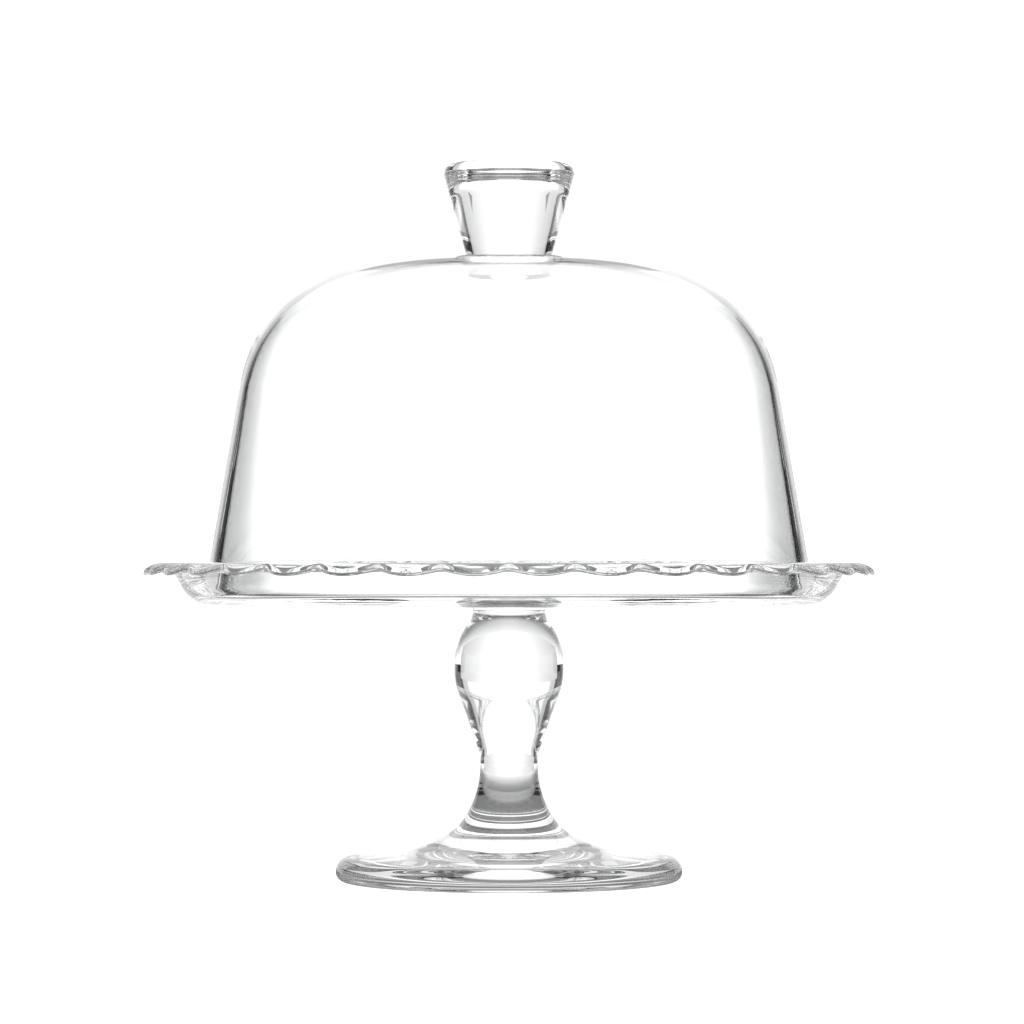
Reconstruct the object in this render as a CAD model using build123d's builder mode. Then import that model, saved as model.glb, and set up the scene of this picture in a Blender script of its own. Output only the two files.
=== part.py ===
from build123d import *
import os

# Footed cake stand with a lift-off bell cover, in clear glass. Millimetres, +Z up,
# origin on the table under the middle of the foot. The front is toward -Y.

os.makedirs("parts", exist_ok=True)

# ---- driving dimensions ----
PLATE_DIAMETER = 260.0          # across two opposite lobe tips
LOBES = 36                      # scallops round the lip
NOTCH_DEPTH = 3.8               # from a lobe tip in to the notch beside it
NOTCH_ROUNDING = 1.2
BRIM_TOP = 113.3                # height of the flat brim above the table
BRIM_THICKNESS = 2.6            # the same all the way out through the curled lip
LIP_START_RADIUS = 122.5        # where the brim begins to curl down
LIP_CURL_RADIUS = 12.0
LIP_CURL_ANGLE = 60.0

PLATE_BOTTOM = 98.3             # underside of the dish
DISH_FLOOR = 103.4              # where the cover stands
DISH_FLOOR_RADIUS = 109.6
DISH_MOUTH_RADIUS = 111.6
DISH_FLOOR_ROUNDING = 2.0
DISH_MOUTH_ROUNDING = 1.5
DISH_BACK_RADIUS = 105.8        # flat part of the underside
DISH_HEEL_RADIUS = 12.0
DISH_HEEL_ANGLE = 61.0
DISH_NECK_ROUNDING = 2.5        # between the dish's outer wall and the brim

WAFER_TOP_RADIUS = 14.6         # joint wafer between plate and stem
WAFER_WAIST_RADIUS = 13.0
STEM_TOP = 96.0
BELLY_RADIUS = 19.6             # widest part of the baluster
BELLY_TOP = 77.0
BELLY_BOTTOM = 74.4
SHOULDER_RADIUS = 24.0          # belly up to the shoulder
SHOULDER_ANGLE = 38.0
FLANK_RADIUS = 18.8             # belly down to the straight flank
FLANK_ANGLE = 19.3
FLANK_LENGTH = 21.6
NECK_CURVE_RADIUS = 19.6        # the neck itself comes out at radius 10.3
FLARE_RADII = (34.7, 19.6, 43.3)   # three tangent curves from the neck out to the foot
FLARE_ANGLES = (30.9, 30.3, 22.2)

FOOT_SEAM = 17.5                # the stem is fused to the foot here
FOOT_BACK_RADIUS = 350.0        # the foot's almost flat upper face
FOOT_BACK_ANGLE = 3.1
FOOT_RIM_RADIUS = 5.4
FOOT_RING_INNER_RADIUS = 51.0   # the foot rests on a ring outside this
FOOT_HOLLOW = 2.5               # height of the shallow hollow inside the ring

COVER_CLEARANCE = 0.3           # between the cover's rim and the dish floor
COVER_CROWN = 221.2             # top of the bell, under the knob
COVER_SEAT_RADIUS = 15.0        # flat disc that the knob is fused to
COVER_OUTSIDE = dict(crown_radius=412.0, crown_angle=5.0, shoulder_radius=49.3,
                     shoulder_angle=58.0, flare_radius=56.0, wall_angle=80.4)
COVER_INSIDE = dict(crown_radius=395.0, crown_angle=5.0, shoulder_radius=47.9,
                    shoulder_angle=58.4, flare_radius=52.0, wall_angle=81.2)
COVER_CROWN_THICKNESS = 2.9
COVER_RIM_ROUNDING = 1.9

KNOB_TOP = 256.0
KNOB_SLOPE = 15.8               # of the grip's side, from upright
KNOB_TOP_RISE = 0.8             # of the slightly domed top above its edge
KNOB_EDGE_ROUNDING = 3.6

# ---- worked out from them ----
plate_radius = PLATE_DIAMETER / 2
notch_radius = plate_radius - NOTCH_DEPTH
cover_rim = DISH_FLOOR + COVER_CLEARANCE


def scallops():
    """The plate's edge seen from above: one arc for each lobe."""
    half_step = 180.0 / LOBES
    for lobe in range(LOBES):
        middle = lobe * 2 * half_step + half_step - 90.0
        ThreePointArc(
            Vector(notch_radius, 0).rotate(Axis.Z, middle - half_step),
            Vector(plate_radius, 0).rotate(Axis.Z, middle),
            Vector(notch_radius, 0).rotate(Axis.Z, middle + half_step),
        )


def plate_section():
    """Half of the dish and brim, cut through the axis. Returns where the wall meets the brim."""
    back = Line((0, PLATE_BOTTOM), (DISH_BACK_RADIUS, PLATE_BOTTOM))
    heel = JernArc(back @ 1, back % 1, DISH_HEEL_RADIUS, DISH_HEEL_ANGLE)
    underside = BRIM_TOP - BRIM_THICKNESS
    wall = PolarLine(heel @ 1, underside - (heel @ 1).Y, DISH_HEEL_ANGLE, length_mode=LengthMode.VERTICAL)
    under_brim = Line(wall @ 1, (LIP_START_RADIUS, underside))
    under_lip = JernArc(under_brim @ 1, under_brim % 1, LIP_CURL_RADIUS, -LIP_CURL_ANGLE)
    edge = Line(under_lip @ 1, under_lip @ 1 + Vector(0, BRIM_THICKNESS))
    brim = Line((DISH_MOUTH_RADIUS, BRIM_TOP), (LIP_START_RADIUS, BRIM_TOP))
    over_lip = JernArc(brim @ 1, brim % 1, LIP_CURL_RADIUS, -LIP_CURL_ANGLE)
    inner_wall = Line((DISH_FLOOR_RADIUS, DISH_FLOOR), brim @ 0)
    floor = Line((0, DISH_FLOOR), inner_wall @ 0)
    Line(floor @ 0, back @ 0)
    return wall @ 1


def stand_section():
    """Half of the stem and foot together, down to the foot's rim."""
    belly = Line((BELLY_RADIUS, BELLY_TOP), (BELLY_RADIUS, BELLY_BOTTOM))
    shoulder = JernArc(belly @ 0, (0, 1), SHOULDER_RADIUS, SHOULDER_ANGLE)
    waist = TangentArc(shoulder @ 1, (WAFER_WAIST_RADIUS, STEM_TOP), tangent=shoulder % 1)
    top = Line(waist @ 1, (0, STEM_TOP))
    side = JernArc(belly @ 1, belly % 1, FLANK_RADIUS, -FLANK_ANGLE)
    flank = Line(side @ 1, side @ 1 + (side % 1) * FLANK_LENGTH)
    neck = JernArc(flank @ 1, flank % 1, NECK_CURVE_RADIUS, FLANK_ANGLE)
    flare = neck
    for radius, angle in zip(FLARE_RADII, FLARE_ANGLES):
        flare = JernArc(flare @ 1, flare % 1, radius, angle)
    upper_face = JernArc(flare @ 1, flare % 1, FOOT_BACK_RADIUS, -FOOT_BACK_ANGLE)
    rim_angle = 90.0 - abs((upper_face % 1).get_angle(Vector(1, 0)))
    rim = JernArc(upper_face @ 1, upper_face % 1, FOOT_RIM_RADIUS, -rim_angle)
    heel = JernArc(rim @ 1, rim % 1, (rim @ 1).Y, -90)
    ring = Line(heel @ 1, (FOOT_RING_INNER_RADIUS, 0))
    hollow = TangentArc((0, FOOT_HOLLOW), ring @ 1, tangent=(1, 0))
    Line(hollow @ 0, top @ 1)


def corner(sketch, radius, height):
    """The corner of a section nearest to a point."""
    return sketch.vertices().sort_by_distance((radius, height))[0]


def bell_outline(crown, crown_radius, crown_angle, shoulder_radius, shoulder_angle, flare_radius, wall_angle):
    """One face of the bell from its middle down to its rim. Angles are turns of the outline."""
    seat = Line((0, crown), (COVER_SEAT_RADIUS, crown))
    top = JernArc(seat @ 1, seat % 1, crown_radius, -crown_angle)
    shoulder = JernArc(top @ 1, top % 1, shoulder_radius, -shoulder_angle)
    flare_angle = wall_angle - crown_angle - shoulder_angle
    flare = JernArc(shoulder @ 1, shoulder % 1, flare_radius, -flare_angle)
    drop = (flare @ 1).Y - cover_rim
    wall = Line(flare @ 1, flare @ 1 + (flare % 1) * (drop / abs((flare % 1).Y)))
    return seat @ 0, wall @ 1


# ---- plate: a shallow dish with a scalloped, curled brim ----
with BuildPart() as cake_plate:
    with BuildSketch(Plane.XZ) as dish:
        with BuildLine():
            wall_top = plate_section()
        make_face()
        fillet(corner(dish, DISH_MOUTH_RADIUS, BRIM_TOP), DISH_MOUTH_ROUNDING)
        fillet(corner(dish, DISH_FLOOR_RADIUS, DISH_FLOOR), DISH_FLOOR_ROUNDING)
        fillet(corner(dish, wall_top.X, wall_top.Y), DISH_NECK_ROUNDING)
    revolve(axis=Axis.Z)
    with BuildSketch(Plane.XY.offset(PLATE_BOTTOM)) as edge:
        with BuildLine():
            scallops()
        make_face()
        fillet(edge.vertices(), NOTCH_ROUNDING)
    extrude(amount=BRIM_TOP - PLATE_BOTTOM, mode=Mode.INTERSECT)
cake_plate.part.label = "cake_plate"
export_step(cake_plate.part, "parts/cake_plate.step")

# ---- joint wafer: the bead of glass between plate and stem ----
with BuildPart() as joint_wafer:
    with BuildSketch(Plane.XZ):
        with BuildLine():
            wafer_top = Line((0, PLATE_BOTTOM), (WAFER_TOP_RADIUS, PLATE_BOTTOM))
            wafer_side = TangentArc((WAFER_WAIST_RADIUS, STEM_TOP), wafer_top @ 1, tangent=(0, 1))
            wafer_foot = Line(wafer_side @ 0, (0, STEM_TOP))
            Line(wafer_foot @ 1, wafer_top @ 0)
        make_face()
    revolve(axis=Axis.Z)
joint_wafer.part.label = "joint_wafer"
export_step(joint_wafer.part, "parts/joint_wafer.step")

# ---- stem: a solid baluster, flared where it meets the foot ----
with BuildPart() as stem:
    with BuildSketch(Plane.XZ):
        with BuildLine():
            stand_section()
        make_face()
    revolve(axis=Axis.Z)
    split(bisect_by=Plane.XY.offset(FOOT_SEAM), keep=Keep.TOP)
stem.part.label = "stem"
export_step(stem.part, "parts/stem.step")

# ---- foot: a wide disc, slightly hollow underneath ----
with BuildPart() as foot:
    with BuildSketch(Plane.XZ):
        with BuildLine():
            stand_section()
        make_face()
    revolve(axis=Axis.Z)
    split(bisect_by=Plane.XY.offset(FOOT_SEAM), keep=Keep.BOTTOM)
foot.part.label = "foot"
export_step(foot.part, "parts/foot.step")

# ---- cover: a bell with a flat seat for its knob ----
with BuildPart() as dome_shell:
    with BuildSketch(Plane.XZ) as wall:
        with BuildLine():
            outer_crown, outer_rim = bell_outline(COVER_CROWN, **COVER_OUTSIDE)
            inner_crown, inner_rim = bell_outline(COVER_CROWN - COVER_CROWN_THICKNESS, **COVER_INSIDE)
            Line(outer_crown, inner_crown)
            Line(outer_rim, inner_rim)
        make_face()
        fillet(corner(wall, outer_rim.X, outer_rim.Y), COVER_RIM_ROUNDING)
        fillet(corner(wall, inner_rim.X, inner_rim.Y), COVER_RIM_ROUNDING)
    revolve(axis=Axis.Z)
dome_shell.part.label = "dome_shell"
export_step(dome_shell.part, "parts/dome_shell.step")

# ---- knob: a solid grip, wider at the top ----
with BuildPart() as dome_knob:
    with BuildSketch(Plane.XZ) as grip:
        with BuildLine():
            base = Line((0, COVER_CROWN), (COVER_SEAT_RADIUS, COVER_CROWN))
            side = PolarLine(base @ 1, KNOB_TOP - KNOB_TOP_RISE - COVER_CROWN, 90 - KNOB_SLOPE,
                             length_mode=LengthMode.VERTICAL)
            top = TangentArc((0, KNOB_TOP), side @ 1, tangent=(1, 0))
            Line(top @ 0, base @ 0)
        make_face()
        fillet(corner(grip, (side @ 1).X, (side @ 1).Y), KNOB_EDGE_ROUNDING)
    revolve(axis=Axis.Z)
dome_knob.part.label = "dome_knob"
export_step(dome_knob.part, "parts/dome_knob.step")
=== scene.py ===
import math

import bmesh
import bpy
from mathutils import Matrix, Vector


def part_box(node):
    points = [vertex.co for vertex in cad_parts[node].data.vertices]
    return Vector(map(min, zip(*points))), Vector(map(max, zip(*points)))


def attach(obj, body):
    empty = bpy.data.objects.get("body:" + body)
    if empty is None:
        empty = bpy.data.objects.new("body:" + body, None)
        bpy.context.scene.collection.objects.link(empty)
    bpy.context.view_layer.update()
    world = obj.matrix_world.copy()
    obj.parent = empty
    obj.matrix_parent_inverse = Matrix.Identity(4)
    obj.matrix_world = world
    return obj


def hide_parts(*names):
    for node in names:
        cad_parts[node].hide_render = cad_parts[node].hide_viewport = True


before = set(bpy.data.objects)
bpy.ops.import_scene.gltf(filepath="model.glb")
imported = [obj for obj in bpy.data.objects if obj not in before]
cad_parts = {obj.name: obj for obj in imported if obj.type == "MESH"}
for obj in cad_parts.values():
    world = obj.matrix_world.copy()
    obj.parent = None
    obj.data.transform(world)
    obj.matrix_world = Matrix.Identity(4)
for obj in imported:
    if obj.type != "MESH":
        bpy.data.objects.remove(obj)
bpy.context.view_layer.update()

MM = 0.001

# ---------------------------------------------------------------- outlines, in millimetres
# The same driving dimensions as the CAD model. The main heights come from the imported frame.


def top_of(node):
    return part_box(node)[1].z / MM


def foot_of(node):
    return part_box(node)[0].z / MM


PLATE_RADIUS = 130.0
LOBES = 36
NOTCH_DEPTH = 3.8
NOTCH_BLEND = math.radians(0.55)   # half the angle over which a notch is softened
BRIM_TOP = top_of("cake_plate")
BRIM_THICKNESS = 2.6
LIP_START_RADIUS = 122.5
LIP_CURL_RADIUS = 12.0
LIP_EDGE_ROUNDING = 1.25
LIP_EDGE_SWELL = 0.12              # of the lip's edge past its two roundings
PLATE_BOTTOM = foot_of("cake_plate")
DISH_FLOOR = 103.4
DISH_FLOOR_RADIUS = 109.6
DISH_MOUTH_RADIUS = 111.6
DISH_BACK_RADIUS = 105.8
DISH_HEEL_RADIUS = 12.0
DISH_HEEL_ANGLE = 61.0
DISH_FLOOR_ROUNDING = 2.0
DISH_MOUTH_ROUNDING = 1.5
DISH_NECK_ROUNDING = 2.5

WAFER_TOP_RADIUS = 14.6
WAFER_WAIST_RADIUS = 13.0
STEM_TOP = top_of("stem")
BELLY_RADIUS = 19.6
BELLY_TOP = 77.0
BELLY_BOTTOM = 74.4
SHOULDER_RADIUS = 24.0
SHOULDER_ANGLE = 38.0
FLANK_RADIUS = 18.8
FLANK_ANGLE = 19.3
FLANK_LENGTH = 21.6
NECK_CURVE_RADIUS = 19.6
FLARE = ((34.7, 30.9), (19.6, 30.3), (43.3, 22.2))   # radius and turn of each curve out to the foot
FOOT_SEAM = foot_of("stem")
FOOT_BACK_RADIUS = 350.0
FOOT_BACK_ANGLE = 3.1
FOOT_RIM_RADIUS = 5.4
FOOT_RING_INNER_RADIUS = 51.0
FOOT_HOLLOW = 2.5

COVER_RIM = foot_of("dome_shell")
COVER_CROWN = top_of("dome_shell")
COVER_SEAT_RADIUS = 15.0
COVER_OUTSIDE = dict(crown_radius=412.0, crown_angle=5.0, shoulder_radius=49.3,
                     shoulder_angle=58.0, flare_radius=56.0, wall_angle=80.4)
COVER_INSIDE = dict(crown_radius=395.0, crown_angle=5.0, shoulder_radius=47.9,
                    shoulder_angle=58.4, flare_radius=52.0, wall_angle=81.2)
COVER_CROWN_THICKNESS = 2.9
COVER_RIM_ROUNDING = 1.9
KNOB_TOP = top_of("dome_knob")
KNOB_SLOPE = 15.8
KNOB_TOP_RISE = 0.8
KNOB_EDGE_ROUNDING = 3.6

# how many points go round each kind of turned piece
WIDE_SPOKES = 384
STEM_SPOKES = 256
KNOB_SPOKES = 192


class Pen:
    """Draws an outline in the half-plane of radius and height. Headings and turns are in degrees,
    0 is outward and 90 is up, and a positive turn goes towards up from outward."""

    def __init__(self, radius, height, heading):
        self.points = [(radius, height)]
        self.heading = heading

    def line(self, length):
        r, z = self.points[-1]
        a = math.radians(self.heading)
        self.points.append((r + length * math.cos(a), z + length * math.sin(a)))
        return self

    def to(self, radius, height):
        r, z = self.points[-1]
        self.heading = math.degrees(math.atan2(height - z, radius - r))
        self.points.append((radius, height))
        return self

    def arc(self, radius, turn, fewest=6, widest=1.6, longest=1.2):
        """At least fewest steps, each of about widest degrees or longest millimetres at most."""
        steps = max(fewest, int(abs(turn) / widest), int(radius * math.radians(abs(turn)) / longest))
        a = math.radians(self.heading)
        side = 1 if turn > 0 else -1
        r, z = self.points[-1]
        cr, cz = r - side * radius * math.sin(a), z + side * radius * math.cos(a)
        for i in range(1, steps + 1):
            b = a + math.radians(turn) * i / steps
            self.points.append((cr + side * radius * math.sin(b), cz - side * radius * math.cos(b)))
        self.heading += turn
        return self


def rounded(points, where, radius, steps=10):
    """The outline with its corner nearest to where turned into an arc tangent to both sides."""
    i = min(range(len(points)), key=lambda k: math.dist(points[k], where))
    p, a, b = (Vector(points[k]) for k in (i, i - 1, (i + 1) % len(points)))
    u, v = (a - p).normalized(), (b - p).normalized()
    half = u.angle(v) / 2
    back = radius / math.tan(half)
    centre = p + (u + v).normalized() * (radius / math.sin(half))
    start, end = p + u * back - centre, p + v * back - centre
    arc = [tuple(centre + radius * start.slerp(end, k / steps)) for k in range(steps + 1)]
    before = [q for q in points[:i] if math.dist(q, p) > back]
    after = [q for q in points[i + 1:] if math.dist(q, p) > back]
    return before + arc + after


def subdivided(points, longest):
    """The outline with its long straight runs cut into shorter ones."""
    out = [points[0]]
    for p in points[1:]:
        q = out[-1]
        n = max(1, math.ceil(math.dist(p, q) / longest))
        out += [(q[0] + (p[0] - q[0]) * k / n, q[1] + (p[1] - q[1]) * k / n) for k in range(1, n + 1)]
    return out


# ---------------------------------------------------------------- lathe

ON_AXIS = 1e-6
CLOSE = 1e-3


def lathe(name, outline, spokes, materials, joint_planes=(), shape=None):
    """A closed mesh from an outline that starts and ends on the axis. spokes is how many points go
    round it, or their angles. Faces that lie in one of joint_planes, each (height, radius), are where
    two pieces are fused and get the second material. shape moves a point of the outline at an angle."""
    verts, faces, slots, edge_rings = [], [], [], []
    rings = []
    if isinstance(spokes, int):
        spokes = [2 * math.pi * s / spokes for s in range(spokes)]
    for k, (r, z) in enumerate(outline):
        if r < ON_AXIS:
            rings.append([len(verts)])
            verts.append((0.0, 0.0, z * MM))
            continue
        ring = []
        for angle in spokes:
            rr, zz = (r, z) if shape is None else shape(k, r, z, angle)
            ring.append(len(verts))
            verts.append((rr * MM * math.cos(angle), rr * MM * math.sin(angle), zz * MM))
        rings.append(ring)

    def slot_of(k):
        (r0, z0), (r1, z1) = outline[k], outline[k + 1]
        for height, radius in joint_planes:
            if max(abs(z0 - height), abs(z1 - height)) < CLOSE and max(r0, r1) < radius + CLOSE:
                return 1
        return 0

    # the rim of a joint face is noted, and stays a sharp edge in the shading
    for k in range(len(rings) - 1):
        a, b, slot = rings[k], rings[k + 1], slot_of(k)
        n = max(len(a), len(b))
        for s in range(n):
            t = (s + 1) % n
            if len(a) == 1:
                faces.append((a[0], b[s], b[t]))
            elif len(b) == 1:
                faces.append((a[s], b[0], a[t]))
            else:
                faces.append((a[s], b[s], b[t], a[t]))
            slots.append(slot)
        if slot and len(b) > 1 and (k + 2 >= len(outline) or slot_of(k + 1) != slot):
            edge_rings.append(b)
        if slot and len(a) > 1 and (k == 0 or slot_of(k - 1) != slot):
            edge_rings.append(a)

    mesh = bpy.data.meshes.new(name)
    mesh.from_pydata(verts, [], faces)
    for m in materials:
        mesh.materials.append(m)
    mesh.polygons.foreach_set("material_index", slots)
    mesh.polygons.foreach_set("use_smooth", [True] * len(faces))
    mesh.update()
    sharp = set()
    for ring in edge_rings:
        sharp |= {frozenset((ring[s], ring[(s + 1) % len(ring)])) for s in range(len(ring))}
    if sharp:
        for e in mesh.edges:
            if frozenset(e.vertices) in sharp:
                e.use_edge_sharp = True
    mesh.validate()
    piece = bpy.data.objects.new(name, mesh)
    bpy.context.scene.collection.objects.link(piece)
    turn_faces_outward(piece)
    return piece


def turn_faces_outward(piece):
    bm = bmesh.new()
    bm.from_mesh(piece.data)
    bmesh.ops.recalc_face_normals(bm, faces=bm.faces)
    bm.to_mesh(piece.data)
    bm.free()


# ---------------------------------------------------------------- materials

GLASS_INDEX = 1.5
GLASS_TINT = (0.985, 0.99, 0.99, 1)


def glass(name, ripple_size, ripple_height):
    """Clear glass. Pressing or blowing leaves a faint ripple in its surface, sized in millimetres."""
    mat = bpy.data.materials.new(name)
    mat.use_nodes = True
    nt = mat.node_tree
    nt.nodes.clear()
    out = nt.nodes.new("ShaderNodeOutputMaterial")
    bsdf = nt.nodes.new("ShaderNodeBsdfPrincipled")
    bsdf.inputs["Transmission Weight"].default_value = 1.0
    bsdf.inputs["IOR"].default_value = GLASS_INDEX
    bsdf.inputs["Roughness"].default_value = 0.0
    bsdf.inputs["Base Color"].default_value = GLASS_TINT
    place = nt.nodes.new("ShaderNodeTexCoord")
    noise = nt.nodes.new("ShaderNodeTexNoise")
    noise.inputs["Scale"].default_value = 1 / (ripple_size * MM)
    noise.inputs["Detail"].default_value = 2.0
    bump = nt.nodes.new("ShaderNodeBump")
    bump.inputs["Strength"].default_value = 1.0
    bump.inputs["Distance"].default_value = ripple_height * MM
    nt.links.new(place.outputs["Object"], noise.inputs["Vector"])
    nt.links.new(noise.outputs["Fac"], bump.inputs["Height"])
    nt.links.new(bump.outputs["Normal"], bsdf.inputs["Normal"])
    nt.links.new(bsdf.outputs["BSDF"], out.inputs["Surface"])
    return mat


def fused_joint():
    """The face where two pieces of glass are fused: light passes it as if it weren't there."""
    mat = bpy.data.materials.new("fused_joint")
    mat.use_nodes = True
    nt = mat.node_tree
    nt.nodes.clear()
    out = nt.nodes.new("ShaderNodeOutputMaterial")
    clear = nt.nodes.new("ShaderNodeBsdfTransparent")
    nt.links.new(clear.outputs["BSDF"], out.inputs["Surface"])
    return mat


joint = fused_joint()
pressed = glass("pressed_glass", ripple_size=14.0, ripple_height=0.02)
blown = glass("cover_glass", ripple_size=30.0, ripple_height=0.01)


# ---------------------------------------------------------------- pieces


def bell_side(crown, crown_radius, crown_angle, shoulder_radius, shoulder_angle, flare_radius, wall_angle):
    """One side of the bell's wall from the axis down to the rim: level under the knob, then the crown,
    shoulder and flare, and a straight wall. wall_angle is how steeply the wall goes down."""
    pen = Pen(0, crown, 0).to(COVER_SEAT_RADIUS, crown)
    pen.arc(crown_radius, -crown_angle).arc(shoulder_radius, -shoulder_angle)
    pen.arc(flare_radius, -(wall_angle - crown_angle - shoulder_angle))
    pen.line((pen.points[-1][1] - COVER_RIM) / math.sin(math.radians(wall_angle)))
    return pen.points


def make_dome_shell():
    outer = bell_side(COVER_CROWN, **COVER_OUTSIDE)
    inner = bell_side(COVER_CROWN - COVER_CROWN_THICKNESS, **COVER_INSIDE)
    outline = outer + inner[::-1]
    outline = rounded(outline, outer[-1], COVER_RIM_ROUNDING)
    outline = rounded(outline, inner[-1], COVER_RIM_ROUNDING)
    outline = subdivided(outline, longest=3.0)
    return lathe("cover_bell", outline, WIDE_SPOKES, [blown, joint], [(COVER_CROWN, COVER_SEAT_RADIUS)])


def make_knob():
    edge_height = KNOB_TOP - KNOB_TOP_RISE
    edge = (COVER_SEAT_RADIUS + (edge_height - COVER_CROWN) * math.tan(math.radians(KNOB_SLOPE)), edge_height)
    dome_radius = (edge[0] ** 2 + KNOB_TOP_RISE ** 2) / (2 * KNOB_TOP_RISE)
    dome_angle = math.degrees(math.asin(edge[0] / dome_radius))
    top = Pen(0, KNOB_TOP, 0).arc(dome_radius, -dome_angle).points
    outline = [(0, COVER_CROWN), (COVER_SEAT_RADIUS, COVER_CROWN)] + top[::-1]
    outline = rounded(outline, edge, KNOB_EDGE_ROUNDING, steps=16)
    outline = subdivided(outline, longest=1.5)
    return lathe("cover_knob", outline, KNOB_SPOKES, [blown, joint], [(COVER_CROWN, COVER_SEAT_RADIUS)])


def tangent_arc(pen, end):
    """The pen's outline carried on to a point by an arc that leaves along its heading."""
    start = pen.points[-1]
    chord = math.degrees(math.atan2(end[1] - start[1], end[0] - start[0]))
    turn = 2 * (chord - pen.heading)
    return pen.arc(math.dist(start, end) / (2 * math.sin(math.radians(abs(turn)) / 2)), turn)


def stand_outline():
    """From the stem's top face down its side and out over the foot to the table."""
    pen = Pen(BELLY_RADIUS, BELLY_TOP, 90).arc(SHOULDER_RADIUS, SHOULDER_ANGLE)
    shoulder = pen.points
    r, z = shoulder[-1]
    # the waist bends back towards upright as it meets the joint wafer
    waist = tangent_arc(Pen(r, z, pen.heading), (WAFER_WAIST_RADIUS, STEM_TOP))
    upper = [(0, STEM_TOP)] + (shoulder + waist.points[1:])[::-1]
    pen = Pen(BELLY_RADIUS, BELLY_TOP, -90).line(BELLY_TOP - BELLY_BOTTOM)
    pen.arc(FLANK_RADIUS, -FLANK_ANGLE).line(FLANK_LENGTH).arc(NECK_CURVE_RADIUS, FLANK_ANGLE)
    for radius, angle in FLARE:
        pen.arc(radius, angle)
    pen.arc(FOOT_BACK_RADIUS, -FOOT_BACK_ANGLE)
    pen.arc(FOOT_RIM_RADIUS, -(90 + pen.heading))
    pen.arc(pen.points[-1][1], -90)
    return upper + pen.points[1:]


def split_at(points, height):
    """The outline above a height and the outline below it, each with a point at the height."""
    for k in range(1, len(points)):
        (r0, z0), (r1, z1) = points[k - 1], points[k]
        if z0 > height >= z1:
            t = (z0 - height) / (z0 - z1)
            cut = (r0 + (r1 - r0) * t, height)
            return points[:k] + [cut], [cut] + points[k:]
    raise ValueError("the outline doesn't cross that height")


def make_stem_and_foot():
    stem_side, foot_side = split_at(stand_outline(), FOOT_SEAM)
    seam_radius = stem_side[-1][0]
    stem_outline = subdivided(stem_side + [(0, FOOT_SEAM)], longest=1.5)
    stem = lathe("baluster_stem", stem_outline, STEM_SPOKES, [pressed, joint],
                 [(STEM_TOP, WAFER_WAIST_RADIUS), (FOOT_SEAM, seam_radius)])
    cap = (FOOT_RING_INNER_RADIUS ** 2 + FOOT_HOLLOW ** 2) / (2 * FOOT_HOLLOW)
    half = math.degrees(math.asin(FOOT_RING_INNER_RADIUS / cap))
    base = Pen(FOOT_RING_INNER_RADIUS, 0, 180 - half).arc(cap, half).points
    foot_outline = subdivided([(0, FOOT_SEAM)] + foot_side + base, longest=2.0)
    foot_outline[-1] = (0, foot_outline[-1][1])
    foot = lathe("round_foot", foot_outline, WIDE_SPOKES, [pressed, joint], [(FOOT_SEAM, seam_radius)])
    return stem, foot


def make_wafer():
    pen = tangent_arc(Pen(WAFER_WAIST_RADIUS, STEM_TOP, 90), (WAFER_TOP_RADIUS, PLATE_BOTTOM))
    outline = subdivided([(0, STEM_TOP)] + pen.points + [(0, PLATE_BOTTOM)], longest=1.5)
    return lathe("joint_bead", outline, STEM_SPOKES, [pressed, joint],
                 [(STEM_TOP, WAFER_WAIST_RADIUS), (PLATE_BOTTOM, WAFER_TOP_RADIUS)])


def edge_radius(angle):
    """How far the scalloped edge lies from the axis: one arc for each lobe, blended at the notches."""
    step = 2 * math.pi / LOBES
    notch = PLATE_RADIUS - NOTCH_DEPTH
    x = (angle + math.pi / 2) % step - step / 2
    half_chord = notch * math.sin(step / 2)
    rise = PLATE_RADIUS - notch * math.cos(step / 2)
    arc_radius = (half_chord ** 2 + rise ** 2) / (2 * rise)
    centre = PLATE_RADIUS - arc_radius
    # distance along the ray at angle x to the lobe's circle
    return centre * math.cos(x) + math.sqrt(arc_radius ** 2 - (centre * math.sin(x)) ** 2)


def notch_rounded(angle):
    """edge_radius with its notches softened over a small angle."""
    step = 2 * math.pi / LOBES
    x = (angle + math.pi / 2) % step
    near = min(x, step - x)
    if near >= NOTCH_BLEND:
        return edge_radius(angle)
    tiny = 1e-4
    far = edge_radius(-math.pi / 2 + NOTCH_BLEND)
    slope = (edge_radius(-math.pi / 2 + NOTCH_BLEND + tiny) - far) / tiny
    return far - slope * NOTCH_BLEND / 2 + slope * near ** 2 / (2 * NOTCH_BLEND)


def curl(radius):
    """How far the lip has dropped below the brim at a radius."""
    x = max(0.0, radius - LIP_START_RADIUS)
    return LIP_CURL_RADIUS - math.sqrt(LIP_CURL_RADIUS ** 2 - x * x)


def lip_rows(steps=10, rounding_steps=6):
    """The lip's outline in rows of (kind, a, b). On the under and over faces, a is how far out the row
    is as a fraction. On the edge, a is in millimetres past the inset edge and b above the underside."""
    corner = LIP_EDGE_ROUNDING
    rows = [("under", k / steps, 0.0) for k in range(1, steps + 1)]
    for k in range(1, rounding_steps + 1):
        a = math.pi / 2 * k / rounding_steps
        rows.append(("edge", math.sin(a) * corner, corner - math.cos(a) * corner))
    for out, share in ((0, 0.4), (LIP_EDGE_SWELL, 0.5), (0, 0.6)):
        rows.append(("edge", corner + out, BRIM_THICKNESS * share))
    for k in range(rounding_steps):
        a = math.pi / 2 * k / rounding_steps
        rows.append(("edge", math.cos(a) * corner, BRIM_THICKNESS - corner + math.sin(a) * corner))
    return rows + [("over", k / steps, 0.0) for k in range(steps, 0, -1)]


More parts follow.
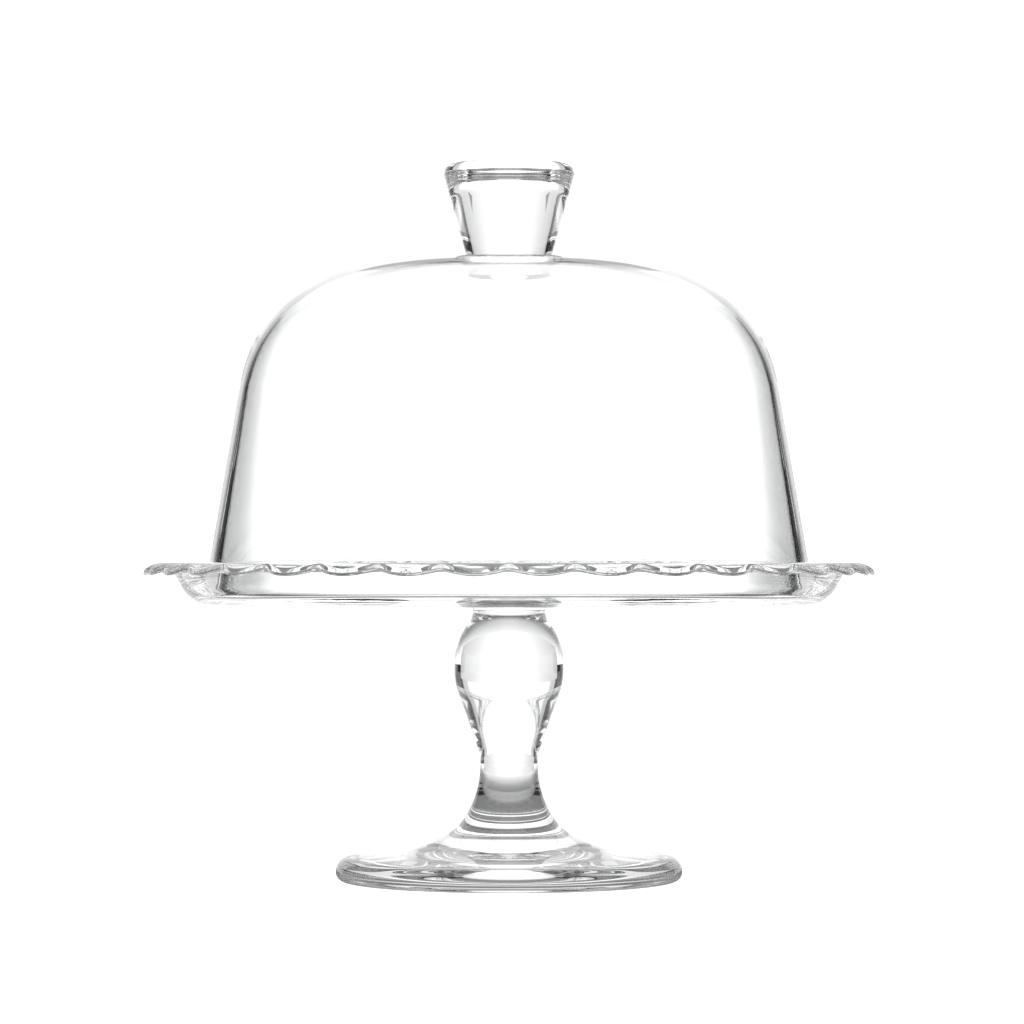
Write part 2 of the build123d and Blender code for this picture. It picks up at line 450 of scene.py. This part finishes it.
def lobe_spokes(per_lobe=16):
    """Angles round the plate, set closer together at the notches."""
    step = 2 * math.pi / LOBES
    angles = []
    for lobe in range(LOBES):
        for k in range(per_lobe):
            even = -1 + 2 * k / per_lobe
            bunched = -math.cos(math.pi * k / per_lobe)
            angles.append(-math.pi / 2 + step * (lobe + 0.5 + 0.25 * (even + bunched)))
    return angles


def make_plate():
    back = Pen(0, PLATE_BOTTOM, 0).to(DISH_BACK_RADIUS, PLATE_BOTTOM)
    back.points.insert(1, (WAFER_TOP_RADIUS, PLATE_BOTTOM))
    back.arc(DISH_HEEL_RADIUS, DISH_HEEL_ANGLE)
    underside = BRIM_TOP - BRIM_THICKNESS
    back.line((underside - back.points[-1][1]) / math.sin(math.radians(DISH_HEEL_ANGLE)))
    wall_top = back.points[-1]
    under = rounded(back.points + [(LIP_START_RADIUS, underside)], wall_top, DISH_NECK_ROUNDING)
    under = subdivided(under, longest=4.0)
    over = [(LIP_START_RADIUS, BRIM_TOP), (DISH_MOUTH_RADIUS, BRIM_TOP),
            (DISH_FLOOR_RADIUS, DISH_FLOOR), (0, DISH_FLOOR)]
    over = rounded(over, (DISH_MOUTH_RADIUS, BRIM_TOP), DISH_MOUTH_ROUNDING)
    over = rounded(over, (DISH_FLOOR_RADIUS, DISH_FLOOR), DISH_FLOOR_ROUNDING)
    over = subdivided(over, longest=4.0)

    # the lip is drawn for the widest radius and pulled in to the scalloped edge at each spoke
    lip = lip_rows()
    first = len(under)
    outline = under + [(PLATE_RADIUS, BRIM_TOP)] * len(lip) + over

    def shape(k, r, z, angle):
        if not 0 <= k - first < len(lip):
            return r, z
        kind, a, b = lip[k - first]
        edge = notch_rounded(angle) - (LIP_EDGE_ROUNDING + LIP_EDGE_SWELL)
        if kind == "edge":
            return edge + a, underside - curl(edge + a) + b
        radius = LIP_START_RADIUS + (edge - LIP_START_RADIUS) * a
        return radius, (underside if kind == "under" else BRIM_TOP) - curl(radius)

    return lathe("scalloped_plate", outline, lobe_spokes(), [pressed, joint],
                 [(PLATE_BOTTOM, WAFER_TOP_RADIUS)], shape)


plate = make_plate()
wafer = make_wafer()
stem, foot = make_stem_and_foot()
bell = make_dome_shell()
knob = make_knob()

for piece, node, slot in ((plate, "cake_plate", "pressed_glass"), (wafer, "joint_wafer", "pressed_glass"),
                          (stem, "stem", "pressed_glass"), (foot, "foot", "pressed_glass"),
                          (bell, "dome_shell", "cover_glass"), (knob, "dome_knob", "cover_glass")):
    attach(piece, "dome" if node.startswith("dome") else "stand")
    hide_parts(node)


# ---------------------------------------------------------------- studio
# Bright-field light for glass. The camera sees a white world and a white floor. The glass has only a
# nearly dark world and the cards below to refract and reflect, and they give it its grey and black edges.

PAPER = 1.3
UNSEEN_WORLD = 0.02
WHITE = (1, 1, 1, 1)
CURVE_TOP = 2.0                    # the strength that 1 stands for on a float curve
SPOT_SHAPE = (1, 0, 0.25)          # makes the spot four times as tall as it is wide
BACKDROP_HALF_WIDTH = 0.209


def emitter(name, strength):
    """A material that gives off white light."""
    mat = bpy.data.materials.new(name)
    mat.use_nodes = True
    nt = mat.node_tree
    nt.nodes.clear()
    out = nt.nodes.new("ShaderNodeOutputMaterial")
    light = nt.nodes.new("ShaderNodeEmission")
    light.inputs["Color"].default_value = WHITE
    light.inputs["Strength"].default_value = strength
    nt.links.new(light.outputs["Emission"], out.inputs["Surface"])
    return mat


def graded(name, stops, measure):
    """An emitter whose strength follows stops of (place in metres, strength). measure adds the nodes
    that turn a point of a card, counted from its centre, into its place, and returns their socket."""
    mat = emitter(name, 1.0)
    nt = mat.node_tree
    light = next(n for n in nt.nodes if n.type == "EMISSION")
    point = nt.nodes.new("ShaderNodeTexCoord")
    start, end = stops[0][0], stops[-1][0]
    fraction = nt.nodes.new("ShaderNodeMath")
    fraction.operation = "MULTIPLY_ADD"
    fraction.inputs[1].default_value = 1 / (end - start)
    fraction.inputs[2].default_value = -start / (end - start)
    ramp = nt.nodes.new("ShaderNodeFloatCurve")
    curve = ramp.mapping.curves[0]
    levels = [((place - start) / (end - start), strength / CURVE_TOP) for place, strength in stops]
    curve.points[0].location = levels[0]
    curve.points[1].location = levels[-1]
    for level in levels[1:-1]:
        curve.points.new(*level)
    ramp.mapping.update()
    scale = nt.nodes.new("ShaderNodeMath")
    scale.operation = "MULTIPLY"
    scale.inputs[1].default_value = CURVE_TOP
    nt.links.new(measure(nt, point.outputs["Object"]), fraction.inputs[0])
    nt.links.new(fraction.outputs[0], ramp.inputs["Value"])
    nt.links.new(ramp.outputs["Value"], scale.inputs[0])
    nt.links.new(scale.outputs[0], light.inputs["Strength"])
    return mat


def from_middle(nt, point):
    """How far a point of an upright card is from its centre, with its height counted as a quarter."""
    squash = nt.nodes.new("ShaderNodeVectorMath")
    squash.operation = "MULTIPLY"
    squash.inputs[1].default_value = SPOT_SHAPE
    length = nt.nodes.new("ShaderNodeVectorMath")
    length.operation = "LENGTH"
    nt.links.new(point, squash.inputs[0])
    nt.links.new(squash.outputs["Vector"], length.inputs[0])
    return length.outputs["Value"]


def along(axis):
    """A measure for graded: where a point of a card is along one axis."""
    def measure(nt, point):
        split = nt.nodes.new("ShaderNodeSeparateXYZ")
        nt.links.new(point, split.inputs[0])
        return split.outputs[axis]
    return measure


def mirrored(fall):
    """The stops of both sides, from those of one side, which start at the middle."""
    return [(-place, strength) for place, strength in fall[::-1]] + fall[1:]


def card(name, centre, across, up, material):
    """A flat card, not seen by the camera: across and up are half its width and height, as vectors."""
    a, u = Vector(across), Vector(up)
    mesh = bpy.data.meshes.new(name)
    mesh.from_pydata([-a - u, a - u, a + u, u - a], [], [(0, 1, 2, 3)])
    mesh.materials.append(material)
    ob = bpy.data.objects.new(name, mesh)
    ob.location = centre
    bpy.context.scene.collection.objects.link(ob)
    ob.visible_camera = False
    return ob


def light_world():
    """A world that is white to the camera's own rays and nearly dark to all others."""
    world = bpy.data.worlds.new("studio")
    bpy.context.scene.world = world
    world.use_nodes = True
    nt = world.node_tree
    nt.nodes.clear()
    out = nt.nodes.new("ShaderNodeOutputWorld")
    mix = nt.nodes.new("ShaderNodeMixShader")
    path = nt.nodes.new("ShaderNodeLightPath")
    seen = nt.nodes.new("ShaderNodeBackground")
    seen.inputs["Color"].default_value = WHITE
    seen.inputs["Strength"].default_value = PAPER
    unseen = nt.nodes.new("ShaderNodeBackground")
    unseen.inputs["Color"].default_value = WHITE
    unseen.inputs["Strength"].default_value = UNSEEN_WORLD
    nt.links.new(path.outputs["Is Camera Ray"], mix.inputs["Fac"])
    nt.links.new(unseen.outputs[0], mix.inputs[1])
    nt.links.new(seen.outputs[0], mix.inputs[2])
    nt.links.new(mix.outputs[0], out.inputs["Surface"])


light_world()

backdrop_paper = graded("backdrop_paper", [
    (0, 1.24), (0.06, 1.12), (0.112, 0.9), (0.156, 0.8), (0.2, 0.66), (0.4, 0.5)], from_middle)
card("backdrop", centre=(0, 0.195, 0.2), across=(BACKDROP_HALF_WIDTH, 0, 0), up=(0, 0, 0.2),
     material=backdrop_paper)

# this paper darkens towards the sides, where it is seen through the cover's wall
cover_paper = graded("cover_paper", mirrored([
    (0, 1.6), (0.11, 1.6), (0.122, 1.3), (0.133, 0.9), (0.144, 0.72), (0.155, 0.68), (0.165, 0.7),
    (0.175, 0.68), (0.184, 0.36), (0.192, 0.06), (0.2, 0.01), (BACKDROP_HALF_WIDTH, 0.01)]), along("X"))
card("cover_backdrop", centre=(0, 0.194, 0.1975), across=(BACKDROP_HALF_WIDTH, 0, 0), up=(0, 0, 0.0975),
     material=cover_paper)
card("crown_shade", centre=(0, 0.1935, 0.3725), across=(0.11, 0, 0), up=(0, 0, 0.0275),
     material=emitter("crown_grey", 0.4))

side_paper = emitter("side_paper", 1.0)
for side in (-1, 1):
    card("far_side_light", centre=(side * 1.5, 0, 0.21), across=(0, 0.42, 0), up=(0, 0, 0.21),
         material=side_paper)
card("far_backdrop", centre=(0, 1.5, 0.62), across=(0.9, 0, 0), up=(0, 0, 0.37),
     material=emitter("far_paper", 1.3))
card("overhead", centre=(0, 0, 1), across=(0.3, 0, 0), up=(0, 0.7, 0),
     material=emitter("overhead_paper", 1.0))

# dark under and before the object, and light behind it
lit_floor = graded("lit_floor", [
    (-1, 0.64), (-0.4, 0.64), (-0.26, 0.28), (-0.1, 0.22), (0.06, 0.28),
    (0.14, 0.7), (0.2, 1), (0.28, 1.2), (1, 1.2)], along("Y"))
card("floor_paper", centre=(0, 0, -0.0004), across=(1.8, 0, 0), up=(0, 1.8, 0), material=lit_floor)

# the floor that the camera sees, just under the paper
FLOOR_HALF = 6
FLOOR_HEIGHT = -0.0005
floor_mesh = bpy.data.meshes.new("floor")
floor_mesh.from_pydata([(-FLOOR_HALF, -FLOOR_HALF, 0), (FLOOR_HALF, -FLOOR_HALF, 0),
                        (FLOOR_HALF, FLOOR_HALF, 0), (-FLOOR_HALF, FLOOR_HALF, 0)], [], [(0, 1, 2, 3)])
floor_mesh.materials.append(emitter("floor_white", PAPER))
floor = bpy.data.objects.new("floor", floor_mesh)
bpy.context.scene.collection.objects.link(floor)
floor.location.z = FLOOR_HEIGHT
floor.visible_transmission = False
floor.visible_glossy = False
floor.visible_diffuse = False

# ---------------------------------------------------------------- camera
# In metres. It stands a little to the right of the axis and looks slightly up.

DISTANCE = 1.498
HEIGHT = 0.1133
TO_THE_RIGHT = 0.0010701
AIM_RISE = 0.01801335              # how far above the camera's height it aims, at the axis
HALF_WIDTH_IN_VIEW = 0.1826304     # at the axis
SENSOR = 36.0
camera = bpy.data.cameras.new("camera")
camera.sensor_width = SENSOR
camera.lens = SENSOR / 2 / (HALF_WIDTH_IN_VIEW / DISTANCE)
eye = bpy.data.objects.new("camera", camera)
bpy.context.scene.collection.objects.link(eye)
eye.location = (TO_THE_RIGHT, -DISTANCE, HEIGHT)
eye.rotation_euler = (math.pi / 2 + math.atan(AIM_RISE / DISTANCE), 0, 0)
bpy.context.scene.camera = eye

# light is led a long way along the plate and the lip before it leaves the glass
GLASS_BOUNCES = 96
scene = bpy.context.scene
scene.view_settings.view_transform = "Standard"
scene.cycles.max_bounces = GLASS_BOUNCES
scene.cycles.transmission_bounces = GLASS_BOUNCES
scene.cycles.transparent_max_bounces = 32
scene.cycles.glossy_bounces = GLASS_BOUNCES
scene.cycles.caustics_refractive = True
scene.cycles.caustics_reflective = True
